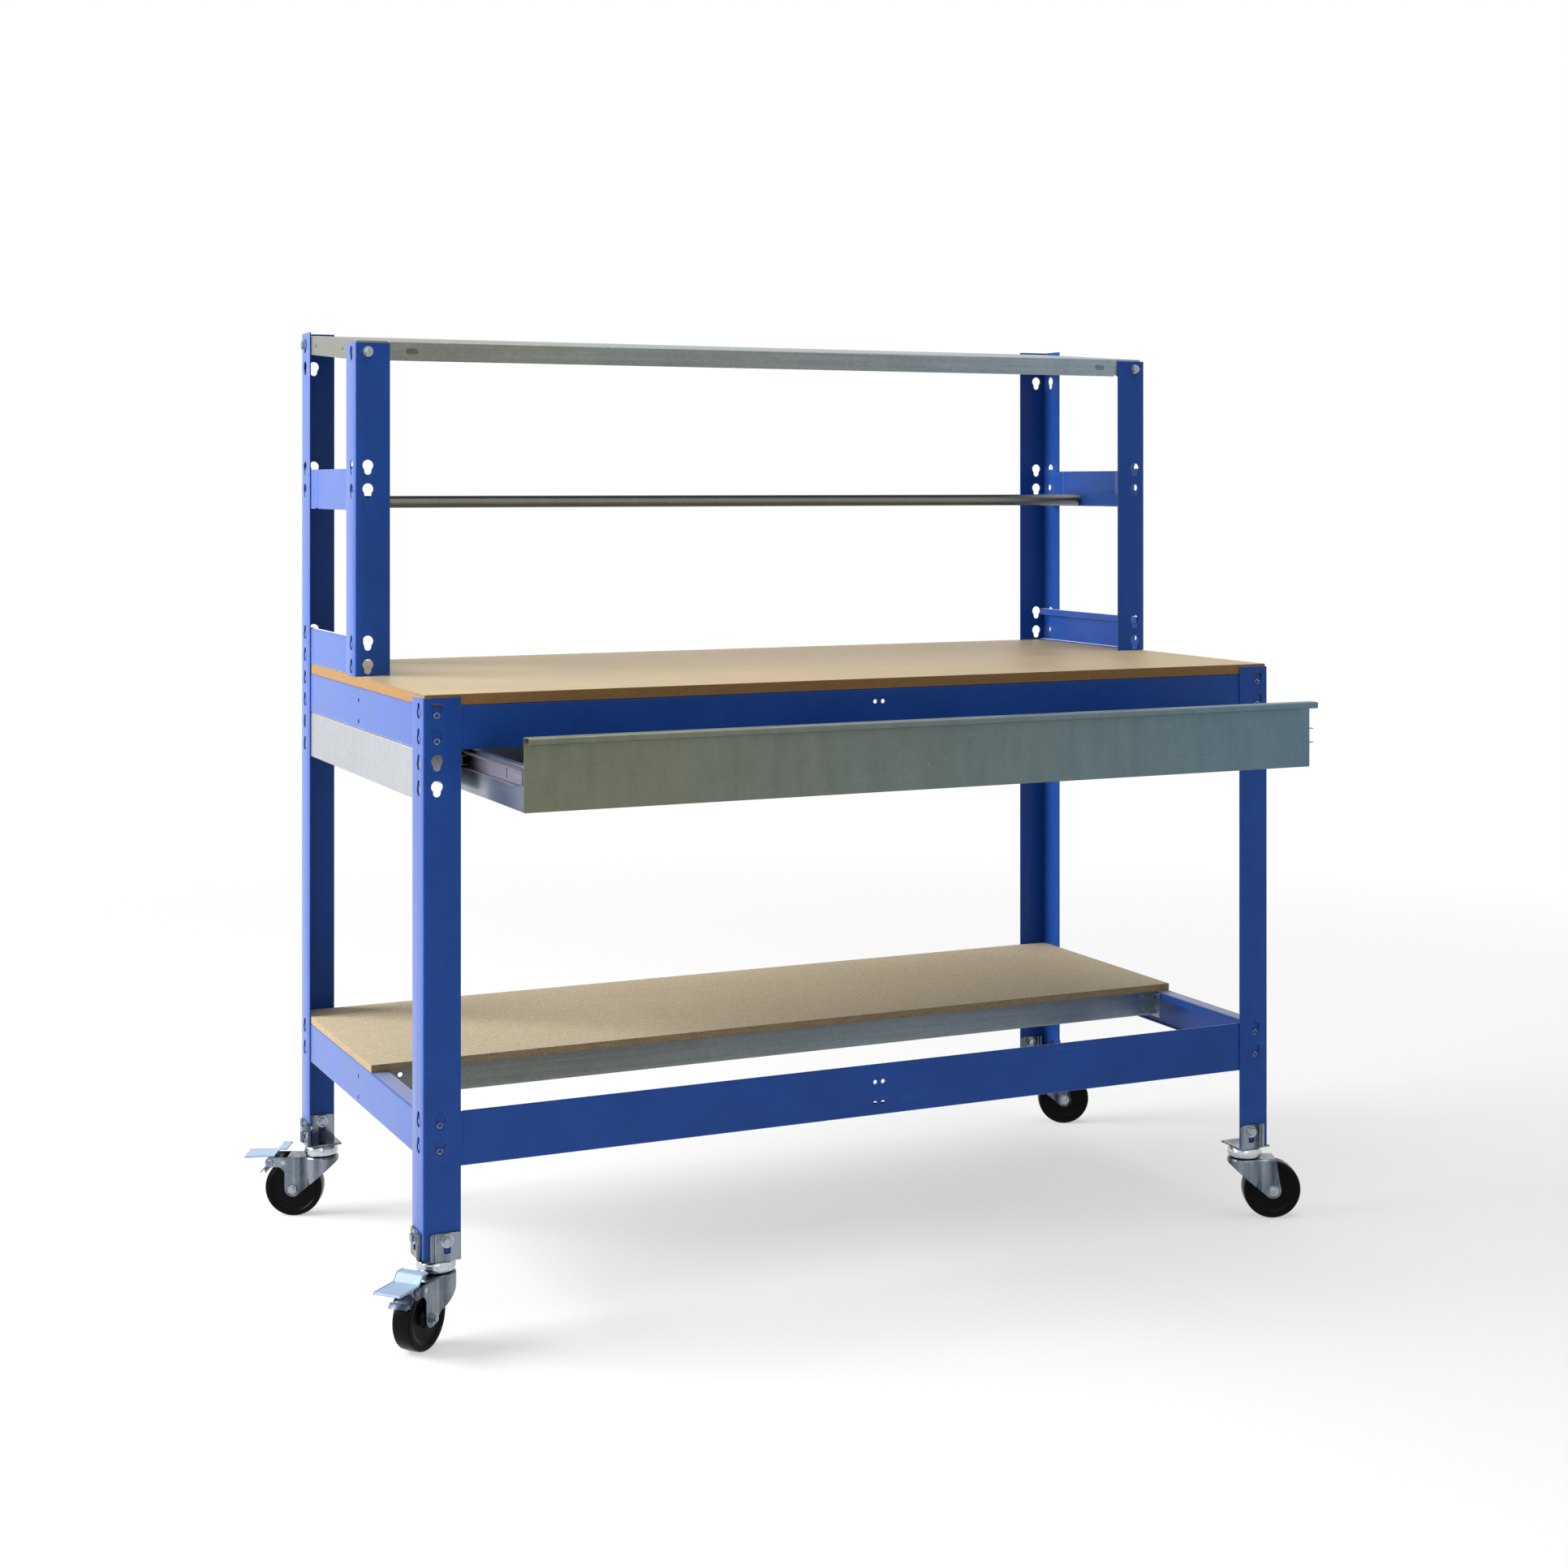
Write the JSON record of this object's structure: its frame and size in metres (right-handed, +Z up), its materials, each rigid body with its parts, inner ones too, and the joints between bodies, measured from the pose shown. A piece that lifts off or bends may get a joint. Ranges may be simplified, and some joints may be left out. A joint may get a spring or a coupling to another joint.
{
  "type": "mobile workbench",
  "caption": "Mobile packing bench: boltless steel frame on swivel casters, wood worktop, wide open drawer, lower shelf, roll bar and sloping top shelf.",
  "frame": {"origin": "on the floor under the middle of the whole bench as drawn, with the drawer open", "axes": "+X to the right as seen from the drawer side, +Y to the back, +Z up"},
  "size_m": [1.6844, 1.046, 1.5461],
  "materials": {
    "blue_paint": "satin powder coat",
    "galvanised": "galvanised sheet",
    "zinc_plate": "bright zinc plate",
    "bar_steel": "plain grey steel",
    "hardboard": "smooth hardboard face",
    "chipboard": "raw chipboard",
    "wheel_plastic": "black moulded",
    "pedal_plastic": "grey-blue moulded"
  },
  "bodies": {
    "frame": {"leg_front_left": "blue_paint", "leg_front_right": "blue_paint", "post_rear_left": "blue_paint", "post_rear_right": "blue_paint", "upper_post_left": "blue_paint", "upper_post_right": "blue_paint", "worktop_beam_front": "blue_paint", "lower_beam_front": "blue_paint", "worktop_beam_rear": "blue_paint", "lower_beam_rear": "blue_paint", "worktop_beam_left": "blue_paint", "lower_beam_left": "blue_paint", "worktop_beam_right": "blue_paint", "lower_beam_right": "blue_paint", "upper_rail_left": "blue_paint", "roll_rail_left": "blue_paint", "upper_rail_right": "blue_paint", "roll_rail_right": "blue_paint", "worktop_board": "hardboard", "lower_shelf_board": "chipboard", "shelf_cross_beam": "galvanised", "top_shelf": "galvanised", "shelf_bolt_front_left": "zinc_plate", "shelf_bolt_rear_left": "zinc_plate", "shelf_bolt_front_right": "zinc_plate", "shelf_bolt_rear_right": "zinc_plate", "cabinet_rail_left": "galvanised", "drawer_support_left": "galvanised", "cabinet_rail_right": "galvanised", "drawer_support_right": "galvanised", "caster_bracket_front_left": "zinc_plate", "caster_bracket_front_right": "zinc_plate", "caster_bracket_rear_left": "zinc_plate", "caster_bracket_rear_right": "zinc_plate", "caster_head_front_left": "zinc_plate", "caster_head_front_right": "zinc_plate", "caster_head_rear_left": "zinc_plate", "caster_head_rear_right": "zinc_plate"},
    "drawer": {"drawer_tray": "galvanised", "drawer_front": "galvanised", "drawer_channel_left": "galvanised", "drawer_channel_right": "galvanised"},
    "cage_left": {"ball_cage_left": "zinc_plate"},
    "cage_right": {"ball_cage_right": "zinc_plate"},
    "roll_bar": {"roll_bar": "bar_steel"},
    "swivel_front_left": {"caster_fork_front_left": "zinc_plate", "caster_axle_front_left": "zinc_plate"},
    "wheel_front_left": {"caster_wheel_front_left": "wheel_plastic"},
    "swivel_front_right": {"caster_fork_front_right": "zinc_plate", "caster_axle_front_right": "zinc_plate"},
    "wheel_front_right": {"caster_wheel_front_right": "wheel_plastic"},
    "swivel_rear_left": {"caster_fork_rear_left": "zinc_plate", "caster_axle_rear_left": "zinc_plate"},
    "wheel_rear_left": {"caster_wheel_rear_left": "wheel_plastic"},
    "swivel_rear_right": {"caster_fork_rear_right": "zinc_plate", "caster_axle_rear_right": "zinc_plate"},
    "wheel_rear_right": {"caster_wheel_rear_right": "wheel_plastic"},
    "pedal_front_left": {"brake_pedal_front_left": "pedal_plastic"},
    "pedal_rear_left": {"brake_pedal_rear_left": "pedal_plastic"}
  },
  "joints": [
    {"name": "drawer_slide", "type": "slide", "parent": "frame", "child": "drawer", "axis": [0, -1, 0], "range_m": [-0.225, 0.2]},
    {"name": "cage_left_roll", "type": "slide", "parent": "frame", "child": "cage_left", "axis": [0, -1, 0], "range_m": [-0.1125, 0.1]},
    {"name": "cage_right_roll", "type": "slide", "parent": "frame", "child": "cage_right", "axis": [0, -1, 0], "range_m": [-0.1125, 0.1]},
    {"name": "roll_bar_spin", "type": "hinge", "parent": "frame", "child": "roll_bar", "pos_m": [0.01787, 0.29386, 1.2509], "axis": [1, 0, 0], "continuous": true},
    {"name": "swivel_front_left_turn", "type": "hinge", "parent": "frame", "child": "swivel_front_left", "pos_m": [-0.71388, -0.24664, 0.115], "axis": [0, 0, 1], "continuous": true},
    {"name": "wheel_front_left_roll", "type": "hinge", "parent": "swivel_front_left", "child": "wheel_front_left", "pos_m": [-0.74896, -0.2764, 0.05], "axis": [0.6468, -0.7627, 0], "continuous": true},
    {"name": "swivel_front_right_turn", "type": "hinge", "parent": "frame", "child": "swivel_front_right", "pos_m": [0.74962, -0.24664, 0.115], "axis": [0, 0, 1], "continuous": true},
    {"name": "wheel_front_right_roll", "type": "hinge", "parent": "swivel_front_right", "child": "wheel_front_right", "pos_m": [0.79135, -0.26601, 0.05], "axis": [0.421, 0.907, 0], "continuous": true},
    {"name": "swivel_rear_left_turn", "type": "hinge", "parent": "frame", "child": "swivel_rear_left", "pos_m": [-0.71388, 0.44686, 0.115], "axis": [0, 0, 1], "continuous": true},
    {"name": "wheel_rear_left_roll", "type": "hinge", "parent": "swivel_rear_left", "child": "wheel_rear_left", "pos_m": [-0.75557, 0.4663, 0.05], "axis": [-0.4226, -0.9063, 0], "continuous": true},
    {"name": "swivel_rear_right_turn", "type": "hinge", "parent": "frame", "child": "swivel_rear_right", "pos_m": [0.74962, 0.44686, 0.115], "axis": [0, 0, 1], "continuous": true},
    {"name": "wheel_rear_right_roll", "type": "hinge", "parent": "swivel_rear_right", "child": "wheel_rear_right", "pos_m": [0.79135, 0.42749, 0.05], "axis": [0.421, 0.907, 0], "continuous": true},
    {"name": "pedal_front_left_press", "type": "hinge", "parent": "swivel_front_left", "child": "pedal_front_left", "pos_m": [-0.77794, -0.30097, 0.0965], "axis": [0.6468, -0.7627, 0], "range_deg": [0, 8]},
    {"name": "pedal_rear_left_press", "type": "hinge", "parent": "swivel_rear_left", "child": "pedal_rear_left", "pos_m": [-0.79001, 0.48236, 0.0965], "axis": [-0.4226, -0.9063, 0], "range_deg": [0, 8]}
  ],
  "couplings": [
    {"joint": "cage_left_roll", "follows": "drawer_slide", "ratio": 0.5},
    {"joint": "cage_right_roll", "follows": "drawer_slide", "ratio": 0.5}
  ]
}
